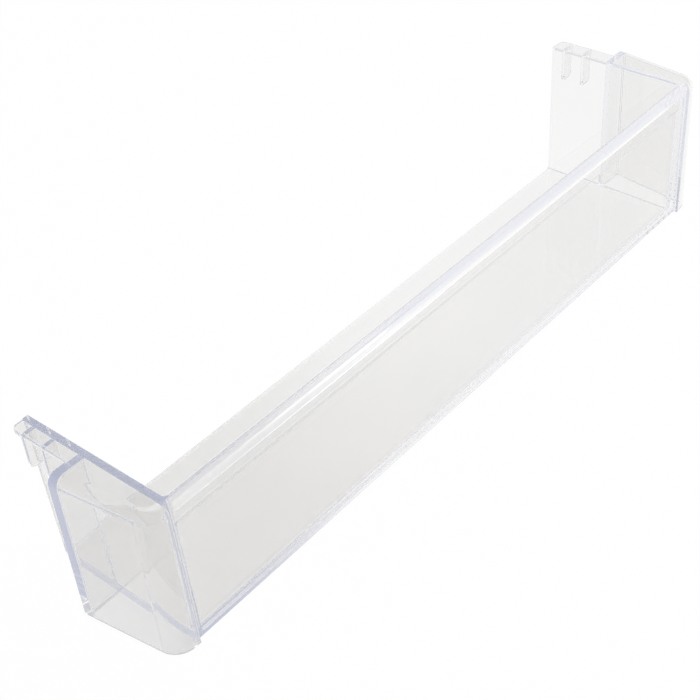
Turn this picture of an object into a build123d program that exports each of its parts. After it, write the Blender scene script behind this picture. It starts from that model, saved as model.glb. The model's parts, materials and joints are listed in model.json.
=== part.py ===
"""Fridge door shelf, moulded in one piece of clear plastic. Sizes are in millimetres.

The origin is under the middle of the shelf, on the surface it stands on.
+X runs along the shelf, -Y is the front, +Y is the open side that meets the door, +Z is up.
"""
import os
from math import cos, radians, tan

from build123d import *

# Tray
inner_length = 450.0
height = 96.0
plate_depth = 99.5
plate_thickness = 3.5
plate_lean = 2.2
floor_thickness = 2.6
inside_radius = 2.5
edge_radius = 0.5

# Front wall with its rim above and its lip below
wall_setback = 2.3
wall_thickness = 2.6
rim_drop = 15.2
bevel_drop = 8.0
rim_thickness = 3.9
rim_flat = 1.5
lip_height = 4.0
lip_radius = 2.0
panel_radius = 1.5

# Hollow cheek outside each end plate
cheek_reach = 26.0
cheek_depth = 59.2
cheek_proud = 2.0
cheek_taper = 7.6
cheek_wall = 2.7
cheek_rear_wall = 3.5
cheek_corner_radius = 12.5
cheek_top_radius = 6.5
cheek_edge_radius = 1.0
hollow_edge_radius = 2.0

# Hook behind each cheek
flange_reach = 7.8
flange_thickness = 3.0
tongue_radius = 4.0
tongue_length = 6.7
rib_thickness = 2.5
rib_drop = 23.0
rib_radius = 3.0
rib_edge_radius = 0.9
flange_edge_radius = 0.8
rear_pocket = 12.2

# Extra length of the cutting shapes past the faces they cut
overrun = 5.0

# Positions that follow from the sizes
front = (cheek_proud - plate_depth) / 2
rear = front + plate_depth
cheek_front = front - cheek_proud
cheek_rear = front + cheek_depth
inner_half = inner_length / 2
outer_half = inner_half + plate_thickness
cheek_side = inner_half + cheek_reach
hollow_front = cheek_front + cheek_wall
hollow_rear = cheek_rear - cheek_rear_wall
side_slope = tan(radians(cheek_taper))
side_inset = cheek_wall / cos(radians(cheek_taper))
rim_bottom = height - rim_drop
bevel_bottom = height - bevel_drop
bevel_back = front + rim_thickness - rim_flat
wall_back = front + wall_setback + wall_thickness
rim_back = front + rim_thickness
flange_side = outer_half + plate_lean + flange_reach
rear_rib = rear - tongue_length
front_rib = rear_rib - rib_thickness - rear_pocket
rib_bottom = height - rib_drop
lean_rise = plate_lean / height


def lean_at(level):
    """How far the end plates have leaned out at a height above the ground."""
    return lean_rise * level


def side_at(position):
    """Distance of the right cheek's outer face from the middle at a position along the depth."""
    return cheek_side - side_slope * (cheek_rear - position)


def borders_tray(edge):
    """Whether an edge of the shelf's top face runs along the opening of the tray."""
    middle = edge.center()
    inside_plates = abs(middle.X) < inner_half + plate_lean + edge_radius
    return inside_plates and middle.Y > (bevel_back + rim_back) / 2


# Faces that the cutting shapes are trimmed to
plate_outside = Plane(origin=(outer_half, 0, 0), x_dir=(0, 1, 0), z_dir=(1, 0, -lean_rise))
wall_inside = Plane(
    origin=(0, wall_back, floor_thickness),
    x_dir=(1, 0, 0),
    z_dir=(0, height - floor_thickness, wall_back - rim_back),
)

# Core that forms the inside of the tray
core_top = height + overrun
core_top_half = inner_half + lean_at(core_top)
core_foot_half = inner_half + lean_at(floor_thickness)
with BuildPart() as core:
    with BuildSketch(Plane.XZ.offset(-front)):
        with BuildLine():
            Polyline(
                (-core_foot_half, floor_thickness),
                (core_foot_half, floor_thickness),
                (core_top_half, core_top),
                (-core_top_half, core_top),
                close=True,
            )
        make_face()
    extrude(amount=-plate_depth - overrun)
    split(bisect_by=wall_inside, keep=Keep.TOP)
    core_front = core.faces().sort_by(Axis.Y)[0]
    core_foot = core.faces().sort_by(Axis.Z)[0]
    core_back = core.faces().sort_by(Axis.Y)[-1]
    core_roof = core.faces().sort_by(Axis.Z)[-1]
    kept_sharp = core_back.edges() + core_roof.edges()
    fillet((core_front.edges() + core_foot.edges()) - kept_sharp, inside_radius)

# Recess in the front between the rim, the lip and the two end plates
panel_foot_half = inner_half + lean_at(lip_height)
panel_top_half = inner_half + lean_at(rim_bottom)
with BuildPart() as panel:
    with BuildSketch(Plane.XZ.offset(-front - wall_setback)) as panel_face:
        with BuildLine():
            Polyline(
                (-panel_foot_half, lip_height),
                (panel_foot_half, lip_height),
                (panel_top_half, rim_bottom),
                (-panel_top_half, rim_bottom),
                close=True,
            )
        make_face()
        fillet(panel_face.vertices(), panel_radius)
    extrude(amount=wall_setback + overrun)

# Hollow of the right cheek, open below
with BuildPart() as hollow:
    with BuildSketch() as hollow_plan:
        with BuildLine():
            Polyline(
                (inner_half, hollow_front),
                (side_at(hollow_front) - side_inset, hollow_front),
                (side_at(hollow_rear) - side_inset, hollow_rear),
                (inner_half, hollow_rear),
                close=True,
            )
        make_face()
        hollow_corner = hollow_plan.vertices().group_by(Axis.Y)[0].sort_by(Axis.X)[-1]
        fillet(hollow_corner, cheek_corner_radius - cheek_wall)
    extrude(amount=height - cheek_wall)
    hollow_roof = hollow.faces().sort_by(Axis.Z)[-1]
    hollow_plate_edge = hollow_roof.edges().sort_by(Axis.X)[0]
    hollow_rear_edge = hollow_roof.edges().sort_by(Axis.Y)[-1]
    fillet(hollow_roof.edges() - [hollow_plate_edge, hollow_rear_edge], cheek_top_radius - cheek_wall)
    hollow_back = hollow.faces().sort_by(Axis.Y)[-1]
    hollow_mouth = hollow.faces().sort_by(Axis.Z)[0]
    hollow_plate_face = hollow.faces().sort_by(Axis.X)[0]
    hollow_kept = hollow_mouth.edges() + hollow_plate_face.edges()
    fillet(hollow_back.edges() - hollow_kept, hollow_edge_radius)

# Ribs under the flange of the right hook
with BuildPart() as ribs:
    with BuildSketch(Plane.XZ.offset(-rear_rib), Plane.XZ.offset(-front_rib)) as rib_face:
        with BuildLine():
            Polyline(
                (inner_half, rib_bottom),
                (flange_side, rib_bottom),
                (flange_side, height),
                (inner_half, height),
                close=True,
            )
        make_face()
        rib_corner = rib_face.vertices().group_by(Axis.Y)[0].sort_by(Axis.X)[-1]
        fillet(rib_corner, rib_radius)
    extrude(amount=rib_thickness)
    rib_roofs = ribs.faces().group_by(Axis.Z)[-1].edges()
    rib_roots = ribs.faces().group_by(Axis.X)[0].edges()
    rib_sides = ribs.faces().filter_by(Axis.Y).edges()
    fillet(rib_sides - rib_roofs - rib_roots, rib_edge_radius)

# Right hook: the flange with its tongue, and the ribs
with BuildPart() as hook:
    with BuildSketch(Plane.XY.offset(height)) as flange_plan:
        with BuildLine():
            Polyline(
                (inner_half, hollow_rear),
                (flange_side, hollow_rear),
                (flange_side, rear),
                (inner_half, rear),
                close=True,
            )
        make_face()
        tongue_corner = flange_plan.vertices().group_by(Axis.Y)[-1].sort_by(Axis.X)[-1]
        fillet(tongue_corner, tongue_radius)
    extrude(amount=-flange_thickness)
    flange_front = hook.faces().sort_by(Axis.Y)[0].edges()
    flange_root = hook.faces().sort_by(Axis.X)[0].edges()
    flange_rims = hook.faces().filter_by(Axis.Z).edges()
    fillet(flange_rims - flange_front - flange_root, flange_edge_radius)
    add(ribs.part)

# Right cheek and hook, trimmed to the outside of the end plate
with BuildPart() as end:
    with BuildSketch() as cheek_plan:
        with BuildLine():
            Polyline(
                (inner_half, cheek_front),
                (side_at(cheek_front), cheek_front),
                (cheek_side, cheek_rear),
                (inner_half, cheek_rear),
                close=True,
            )
        make_face()
        front_corner = cheek_plan.vertices().group_by(Axis.Y)[0].sort_by(Axis.X)[-1]
        fillet(front_corner, cheek_corner_radius)
    extrude(amount=height)
    roof = end.faces().sort_by(Axis.Z)[-1]
    plate_edge = roof.edges().sort_by(Axis.X)[0]
    rear_edge = roof.edges().sort_by(Axis.Y)[-1]
    fillet(roof.edges() - [plate_edge, rear_edge], cheek_top_radius)
    cheek_back = end.faces().sort_by(Axis.Y)[-1]
    cheek_foot = end.faces().sort_by(Axis.Z)[0]
    cheek_plate_face = end.faces().sort_by(Axis.X)[0]
    fillet((cheek_back.edges() + cheek_foot.edges()) - cheek_plate_face.edges(), cheek_edge_radius)
    add(hollow.part, mode=Mode.SUBTRACT)
    add(hook.part)
    split(bisect_by=plate_outside, keep=Keep.TOP)
    mirror(about=Plane.YZ)

# Whole shelf: the outline of the end plates run from end to end, then opened up
outer_top_half = outer_half + lean_at(height)
with BuildPart() as door_shelf:
    with BuildSketch(Plane.YZ) as outline:
        with BuildLine():
            Polyline(
                (front, 0),
                (rear, 0),
                (rear, height),
                (bevel_back, height),
                (front, bevel_bottom),
                close=True,
            )
        make_face()
        bevel_top = outline.vertices().group_by(Axis.Y)[-1].sort_by(Axis.X)[0]
        bevel_foot = outline.vertices().group_by(Axis.Y)[-2].sort_by(Axis.X)[0]
        fillet([bevel_foot, bevel_top], edge_radius)
        lip_corner = outline.vertices().group_by(Axis.Y)[0].sort_by(Axis.X)[0]
        fillet(lip_corner, lip_radius)
    extrude(amount=outer_top_half, both=True)
    with BuildSketch(Plane.XZ.offset(-front)):
        with BuildLine():
            Polyline(
                (-outer_half, 0),
                (outer_half, 0),
                (outer_top_half, height),
                (-outer_top_half, height),
                close=True,
            )
        make_face()
    extrude(amount=-plate_depth, mode=Mode.INTERSECT)
    add(core.part, mode=Mode.SUBTRACT)
    add(panel.part, mode=Mode.SUBTRACT)
    add(end.part)
    top_face = door_shelf.faces().sort_by(Axis.Z)[-1]
    fillet(top_face.edges().filter_by(borders_tray), edge_radius)

door_shelf.part.label = "door_shelf"
os.makedirs("parts", exist_ok=True)
export_step(door_shelf.part, "parts/door_shelf.step")
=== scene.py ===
"""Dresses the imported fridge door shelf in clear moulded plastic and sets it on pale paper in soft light.

Everything is in metres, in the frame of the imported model: +X runs along the shelf, +Y points to its open back
and +Z is up.
"""
import json
import logging
from dataclasses import dataclass, field
from enum import Enum
from typing import Any

import bpy
from mathutils import Matrix, Vector

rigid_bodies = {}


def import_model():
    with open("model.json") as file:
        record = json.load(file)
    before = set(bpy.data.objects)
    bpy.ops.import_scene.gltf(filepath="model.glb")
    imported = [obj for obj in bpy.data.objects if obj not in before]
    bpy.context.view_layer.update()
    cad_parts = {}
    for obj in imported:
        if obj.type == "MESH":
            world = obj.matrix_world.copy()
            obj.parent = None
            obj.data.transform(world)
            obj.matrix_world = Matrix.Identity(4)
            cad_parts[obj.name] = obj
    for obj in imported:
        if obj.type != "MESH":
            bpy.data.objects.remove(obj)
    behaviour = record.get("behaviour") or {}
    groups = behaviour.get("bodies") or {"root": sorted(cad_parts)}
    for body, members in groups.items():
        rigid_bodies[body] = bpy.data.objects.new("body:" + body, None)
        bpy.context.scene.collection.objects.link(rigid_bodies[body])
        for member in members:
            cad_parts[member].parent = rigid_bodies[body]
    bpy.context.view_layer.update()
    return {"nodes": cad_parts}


for leftover in list(bpy.data.objects):
    bpy.data.objects.remove(leftover)
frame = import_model()

logging.basicConfig(level=logging.INFO, format="%(message)s")
log = logging.getLogger("door_shelf")

Colour = tuple[float, float, float]
WHITE: Colour = (1.0, 1.0, 1.0)

# Sockets of the Mix node when it mixes colours
MIX_COLOUR_A = 6
MIX_COLOUR_B = 7
MIX_COLOUR_RESULT = 2


class LightPath(Enum):
    """Outputs of the Light Path node that the materials ask about."""

    CAMERA = "Is Camera Ray"
    GLOSSY = "Is Glossy Ray"
    TRANSMISSION = "Is Transmission Ray"
    DEPTH = "Ray Depth"


class Axis(Enum):
    """Parts of a position or direction."""

    LENGTH = "X"
    UP = "Z"


class Operation(Enum):
    """Operations of the Math node that the values use."""

    ADD = "ADD"
    SUBTRACT = "SUBTRACT"
    MULTIPLY = "MULTIPLY"
    ABOVE = "GREATER_THAN"


class Field:
    """A value that varies over a surface, kept as an output socket, with arithmetic that adds Math nodes."""

    def __init__(self, bench: "Bench", socket: bpy.types.NodeSocket | None) -> None:
        """Keeps the bench that owns the node tree and the socket that carries the value."""
        self.bench = bench
        self.socket = socket

    def _math(self, operation: Operation, first: Any, second: Any) -> "Field":
        """Adds one Math node.

        Args:
            operation: what the node works out.
            first: a number or a Field for the first input.
            second: a number or a Field for the second input.

        Returns:
            The node's result.
        """
        return self.bench.node("ShaderNodeMath", {"operation": operation.value}, {0: first, 1: second})

    def __add__(self, other: Any) -> "Field":
        """This value plus another."""
        return self._math(Operation.ADD, self, other)

    def __radd__(self, other: Any) -> "Field":
        """A number plus this value."""
        return self._math(Operation.ADD, other, self)

    def __sub__(self, other: Any) -> "Field":
        """This value minus another."""
        return self._math(Operation.SUBTRACT, self, other)

    def __rsub__(self, other: Any) -> "Field":
        """A number minus this value."""
        return self._math(Operation.SUBTRACT, other, self)

    def __mul__(self, other: Any) -> "Field":
        """This value times another."""
        return self._math(Operation.MULTIPLY, self, other)

    def __rmul__(self, other: Any) -> "Field":
        """A number times this value."""
        return self._math(Operation.MULTIPLY, other, self)

    def above(self, limit: float) -> "Field":
        """1 where this value is above a limit and 0 elsewhere."""
        return self._math(Operation.ABOVE, self, limit)


class Bench:
    """Builds the nodes of one material or world."""

    def __init__(self, tree: bpy.types.NodeTree) -> None:
        """Empties the tree that the nodes go into."""
        self.tree = tree
        self.tree.nodes.clear()

    def node(
        self,
        kind: str,
        settings: dict[str, Any] | None = None,
        inputs: dict[Any, Any] | None = None,
        output: Any = 0,
    ) -> Field:
        """Adds a node.

        Args:
            kind: the node's type.
            settings: attributes set before the sockets; "stops" holds a colour ramp's (place, colour) pairs.
            inputs: socket name or number to a value or a Field.
            output: name or number of the output to return.

        Returns:
            The chosen output, or a Field without a socket where the node has no outputs.
        """
        made = self.tree.nodes.new(kind)
        for name, value in (settings or {}).items():
            if name == "stops":
                self._set_stops(made.color_ramp, value)
            else:
                setattr(made, name, value)
        for name, value in (inputs or {}).items():
            if isinstance(value, Field):
                self.tree.links.new(value.socket, made.inputs[name])
            else:
                made.inputs[name].default_value = value
        return Field(self, made.outputs[output] if made.outputs else None)

    @staticmethod
    def _set_stops(ramp: bpy.types.ColorRamp, stops: list[tuple[float, Colour]]) -> None:
        """Gives a ramp its stops.

        Args:
            ramp: the ramp to set, which starts with two stops.
            stops: place and colour of each stop, in rising order.
        """
        for _ in stops[2:]:
            ramp.elements.new(1.0)
        for element, (place, colour) in zip(ramp.elements, stops):
            element.position = place
            element.color = (*colour, 1.0)

    def place(self) -> Field:
        """Position on the object in metres, which doesn't change with the view."""
        return self.node("ShaderNodeTexCoord", output="Object")

    def stretched(self, stretch: Colour) -> Field:
        """Position on the object, scaled by its own factor along each axis."""
        return self.node("ShaderNodeVectorMath", {"operation": "MULTIPLY"}, {0: self.place(), 1: stretch})

    def part(self, vector: Field, axis: Axis) -> Field:
        """One part of a position or direction."""
        return self.node("ShaderNodeSeparateXYZ", {}, {0: vector}, axis.value)

    def noise(self, where: Field, scale: float, detail: float) -> Field:
        """Smooth noise between 0 and 1.

        Args:
            where: position that the noise is read at.
            scale: waves in a metre.
            detail: number of finer layers.

        Returns:
            The noise value.
        """
        return self.node("ShaderNodeTexNoise", {}, {"Vector": where, "Scale": scale, "Detail": detail}, "Fac")

    def band(self, value: Field, low: float, high: float) -> Field:
        """Smooth step of a value from 0 at low to 1 at high."""
        settings = {"interpolation_type": "SMOOTHSTEP", "clamp": True}
        return self.node("ShaderNodeMapRange", settings, {"Value": value, "From Min": low, "From Max": high})

    def light_path(self, output: LightPath) -> Field:
        """What is known about the ray that meets the surface."""
        return self.node("ShaderNodeLightPath", output=output.value)

    def background(self, strength: float) -> Field:
        """White light of a fixed strength from the surroundings."""
        return self.node("ShaderNodeBackground", {}, {"Color": (*WHITE, 1.0), "Strength": strength})

    def glow(self, colour: Colour) -> Field:
        """Light of a fixed colour from a surface."""
        return self.node("ShaderNodeEmission", {}, {"Color": (*colour, 1.0), "Strength": 1.0})

    def mixed(self, share: Field, first: Field, second: Field) -> Field:
        """The first shader with a share of the second."""
        return self.node("ShaderNodeMixShader", {}, {0: share, 1: first, 2: second})


def new_material(name: str) -> tuple[bpy.types.Material, Bench]:
    """Makes an empty node material.

    Args:
        name: the material's name.

    Returns:
        The material and the bench that builds its nodes.
    """
    material = bpy.data.materials.new(name)
    material.use_nodes = True
    return material, Bench(material.node_tree)


@dataclass(frozen=True)
class ClearPlastic:
    """Polished clear plastic with a blue tone in depth, soft moulding waves and light handling marks.

    Rays that stay caught between the walls end in an even painted glow, made-up light that is weaker towards
    the near end.
    """

    name: str = "clear_plastic_polished"
    tone_a: Colour = (0.945, 0.94, 0.932)
    tone_b: Colour = (0.93, 0.926, 0.92)
    tone_scale: float = 9.0
    tone_detail: float = 2.0
    tone_low: float = 0.35
    tone_high: float = 0.65
    index: float = 1.49
    polish: float = 0.003
    smear_depth: float = 0.03
    smear_scale: float = 14.0
    smear_detail: float = 4.0
    smear_low: float = 0.5
    smear_high: float = 0.8
    scuff_depth: float = 0.06
    scuff_stretch: Colour = (6.0, 120.0, 120.0)
    scuff_scale: float = 9.0
    scuff_detail: float = 3.0
    scuff_low: float = 0.66
    scuff_high: float = 0.78
    wave_scale: float = 26.0
    wave_detail: float = 1.0
    wave_height: float = 0.000002
    depth_colour: Colour = (0.40, 0.466, 0.69)
    depth_density: float = 5.0
    # painted glow: made-up light on rays caught between the walls, weaker towards the near end
    painted_glow_depth: float = 13.0
    painted_glow_near: Colour = (0.66, 0.67, 0.75)
    painted_glow_far: Colour = (1.17, 1.14, 1.08)
    painted_glow_from: float = -0.2
    painted_glow_to: float = -0.06

    def material(self) -> bpy.types.Material:
        """Builds the plastic.

        Returns:
            The finished material.
        """
        material, bench = new_material(self.name)
        surface = bench.node("ShaderNodeBsdfPrincipled", {}, {
            "Base Color": self.tone(bench),
            "Roughness": self.roughness(bench),
            "IOR": self.index,
            "Transmission Weight": 1.0,
            "Normal": self.waves(bench),
        })
        depth = bench.node("ShaderNodeVolumeAbsorption", {}, {
            "Color": (*self.depth_colour, 1.0),
            "Density": self.depth_density,
        })
        # painted glow replaces the plastic's surface on rays caught long between the walls
        painted_glow_share = bench.light_path(LightPath.DEPTH).above(self.painted_glow_depth)
        whole = bench.mixed(painted_glow_share, surface, self.painted_caught_glow(bench))
        bench.node("ShaderNodeOutputMaterial", {}, {"Surface": whole, "Volume": depth})
        return material

    def tone(self, bench: Bench) -> Field:
        """Two nearly clear tones that drift into each other along the moulding.

        Args:
            bench: the bench that builds the material's nodes.

        Returns:
            The plastic's colour.
        """
        drift = bench.noise(bench.place(), self.tone_scale, self.tone_detail)
        stops = [(self.tone_low, self.tone_a), (self.tone_high, self.tone_b)]
        return bench.node("ShaderNodeValToRGB", {"stops": stops}, {"Fac": drift})

    def roughness(self, bench: Bench) -> Field:
        """Polish that is dulled by smears and by fine scuffs along the shelf.

        Args:
            bench: the bench that builds the material's nodes.

        Returns:
            The plastic's roughness.
        """
        smear_noise = bench.noise(bench.place(), self.smear_scale, self.smear_detail)
        scuff_noise = bench.noise(bench.stretched(self.scuff_stretch), self.scuff_scale, self.scuff_detail)
        smear = bench.band(smear_noise, self.smear_low, self.smear_high)
        scuff = bench.band(scuff_noise, self.scuff_low, self.scuff_high)
        return self.polish + smear * self.smear_depth + scuff * self.scuff_depth

    def waves(self, bench: Bench) -> Field:
        """Slight unevenness of a moulded wall.

        Args:
            bench: the bench that builds the material's nodes.

        Returns:
            The bent normal.
        """
        height = bench.noise(bench.place(), self.wave_scale, self.wave_detail)
        settings = {"Strength": 1.0, "Distance": self.wave_height, "Height": height}
        return bench.node("ShaderNodeBump", {}, settings)

    def painted_caught_glow(self, bench: Bench) -> Field:
        """Painted glow, made-up light that stands in for light caught between the walls and is weaker towards
        the near end.
        """
        painted_light_along = bench.band(bench.part(bench.place(), Axis.LENGTH), self.painted_glow_from, self.painted_glow_to)
        return bench.mixed(painted_light_along, bench.glow(self.painted_glow_near), bench.glow(self.painted_glow_far))


@dataclass(frozen=True)
class PalePaper:
    """Pale paper that shows as white and keeps the shelf's shadow; seen through the plastic it carries painted
    light that grows whiter towards the far end.
    """

    name: str = "pale_paper"
    colour: Colour = (0.96, 0.96, 0.955)
    white_share: float = 0.97
    # painted light: the paper seen through the plastic gets little white at the near end and much at the far
    # end
    painted_through_near: float = 0.12
    painted_through_far: float = 0.95
    painted_light_near_end: float = -0.18
    painted_light_far_end: float = 0.06
    grain_scale: float = 900.0
    grain_detail: float = 2.0
    grain_depth: float = 0.012

    def material(self) -> bpy.types.Material:
        """Builds the paper.

        Returns:
            The finished material.
        """
        material, bench = new_material(self.name)
        sheet = bench.node("ShaderNodeBsdfDiffuse", {}, {"Color": self.tone(bench)})
        whole = bench.mixed(self.white_and_painted_light_share(bench), sheet, bench.glow(WHITE))
        bench.node("ShaderNodeOutputMaterial", {}, {"Surface": whole})
        return material

    def tone(self, bench: Bench) -> Field:
        """The paper's colour with a fine grain.

        Args:
            bench: the bench that builds the material's nodes.

        Returns:
            The sheet's colour.
        """
        grain = 1.0 - bench.noise(bench.place(), self.grain_scale, self.grain_detail) * self.grain_depth
        return bench.node("ShaderNodeMix", {"data_type": "RGBA", "blend_type": "MULTIPLY"}, {
            "Factor": 1.0,
            MIX_COLOUR_A: (*self.colour, 1.0),
            MIX_COLOUR_B: bench.node("ShaderNodeCombineColor", {}, {0: grain, 1: grain, 2: grain}),
        }, MIX_COLOUR_RESULT)

    def white_and_painted_light_share(self, bench: Bench) -> Field:
        """Plain white mixed into the paper where it is seen straight, mirrored or through the plastic; through
        the plastic the white is painted light that grows towards the far end.

        Args:
            bench: the bench that builds the material's nodes.

        Returns:
            The share of white.
        """
        through = bench.light_path(LightPath.TRANSMISSION)
        mirrored = bench.light_path(LightPath.GLOSSY) * (1.0 - through)
        # painted light: the white seen through the plastic grows towards the far end
        painted_light_along = bench.band(bench.part(bench.place(), Axis.LENGTH), self.painted_light_near_end, self.painted_light_far_end)
        painted_through_share = self.painted_through_near + painted_light_along * (self.painted_through_far - self.painted_through_near)
        straight = bench.light_path(LightPath.CAMERA) + mirrored
        return straight * self.white_share + through * painted_through_share


@dataclass
class DoorShelf:
    """The moulded shelf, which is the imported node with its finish."""

    node: str = "door_shelf"
    finish: ClearPlastic = field(default_factory=ClearPlastic)

    def dress(self) -> bpy.types.Object:
        """Gives the shelf's node its plastic.

        Returns:
            The dressed object.
        """
        shelf = frame["nodes"][self.node]
        plastic = self.finish.material()
        for slot in shelf.material_slots:
            slot.material = plastic
        return shelf


@dataclass
class Studio:
    """Paper floor, a large soft lamp and the light that comes from all round."""

    paper: PalePaper = field(default_factory=PalePaper)
    floor_half: float = 4.0
    floor_gap: float = 0.0002
    lamp_size: float = 1.2
    lamp_place: Colour = (0.3, -0.1, 1.25)
    lamp_power: float = 4.3
    top_light: float = 0.66
    side_light: float = 0.85
    side_rise: float = 0.3
    top_rise: float = 0.9
    card_light: float = 1.05
    card_direction: Colour = (0.676, -0.568, 0.469)
    card_edge: float = 0.8
    card_middle: float = 0.98
    straight_light: float = 1.0

    def floor(self) -> bpy.types.Object:
        """Lays the paper just under the shelf.

        Returns:
            The floor.
        """
        half = self.floor_half
        corners = [(-half, -half), (half, -half), (half, half), (-half, half)]
        mesh = bpy.data.meshes.new("paper_floor")
        mesh.from_pydata([(x, y, -self.floor_gap) for x, y in corners], [], [(0, 1, 2, 3)])
        mesh.materials.append(self.paper.material())
        sheet = bpy.data.objects.new("paper_floor", mesh)
        bpy.context.scene.collection.objects.link(sheet)
        return sheet

    def lamp(self) -> bpy.types.Object:
        """Hangs the large soft lamp over the shelf.

        Returns:
            The lamp.
        """
        data = bpy.data.lights.new("soft_lamp", "AREA")
        data.shape = "DISK"
        data.size = self.lamp_size
        data.energy = self.lamp_power
        lamp = bpy.data.objects.new("soft_lamp", data)
        lamp.location = self.lamp_place
        lamp.rotation_euler = (-Vector(self.lamp_place)).to_track_quat("-Z", "Y").to_euler()
        bpy.context.scene.collection.objects.link(lamp)
        return lamp

    def surroundings(self) -> bpy.types.World:
        """Makes the room: white straight on, and pale sides, ceiling and card for everything else.

        Returns:
            The scene's world.
        """
        world = bpy.data.worlds.new("studio_room")
        world.use_nodes = True
        bench = Bench(world.node_tree)
        direction = bench.node("ShaderNodeTexCoord", output="Generated")
        upward = bench.band(bench.part(direction, Axis.UP), self.side_rise, self.top_rise)
        directions = {0: direction, 1: self.card_direction}
        facing = bench.node("ShaderNodeVectorMath", {"operation": "DOT_PRODUCT"}, directions, "Value")
        on_card = bench.band(facing, self.card_edge, self.card_middle)
        room = bench.mixed(upward, bench.background(self.side_light), bench.background(self.top_light))
        room = bench.mixed(on_card, room, bench.background(self.card_light))
        room = bench.mixed(bench.light_path(LightPath.CAMERA), room, bench.background(self.straight_light))
        bench.node("ShaderNodeOutputWorld", {}, {"Surface": room})
        bpy.context.scene.world = world
        return world


@dataclass
class Viewpoint:
    """Camera at the photograph's viewing angle, for a square picture."""

    place: Colour = (-0.48882, -0.41475, 0.52678)
    right: Colour = (0.642328, -0.763009, -0.072341)
    down: Colour = (-0.516434, -0.361136, -0.776451)
    focal_pixels: float = 1377.75
    picture_pixels: float = 700.0
    sensor: float = 36.0
    nearest: float = 0.01
    farthest: float = 50.0

    def camera(self) -> bpy.types.Object:
        """Sets up the camera.

        Returns:
            The camera, which is also made the scene's own.
        """
        data = bpy.data.cameras.new("viewpoint")
        data.sensor_fit = "HORIZONTAL"
        data.sensor_width = self.sensor
        data.lens = self.focal_pixels / self.picture_pixels * self.sensor
        data.clip_start = self.nearest
        data.clip_end = self.farthest
        camera = bpy.data.objects.new("viewpoint", data)
        right = Vector(self.right).normalized()
        up = -Vector(self.down)
        up = (up - right * up.dot(right)).normalized()
        back = right.cross(up)
        turn = Matrix((right, up, back)).transposed().to_4x4()
        camera.matrix_world = Matrix.Translation(self.place) @ turn
        bpy.context.scene.collection.objects.link(camera)
        bpy.context.scene.camera = camera
        return camera


@dataclass
class LightRules:
    """How far light is followed through the clear walls and how its colours are shown."""

    view: str = "Standard"
    bounces: int = 32
    mirror_blur: float = 0.0

    def apply(self) -> None:
        """Gives the rules to the scene."""
        scene = bpy.context.scene
        scene.view_settings.view_transform = self.view
        scene.cycles.blur_glossy = self.mirror_blur
        scene.cycles.max_bounces = self.bounces
        scene.cycles.glossy_bounces = self.bounces
        scene.cycles.transmission_bounces = self.bounces


def main() -> None:
    """Dresses the shelf, sets the stage and points the camera."""
    LightRules().apply()
    log.info("dressed %s in clear plastic", DoorShelf().dress().name)
    studio = Studio()
    log.info("laid %s", studio.floor().name)
    log.info("hung %s", studio.lamp().name)
    log.info("made %s", studio.surroundings().name)
    log.info("placed %s", Viewpoint().camera().name)


if __name__ == "__main__":
    main()
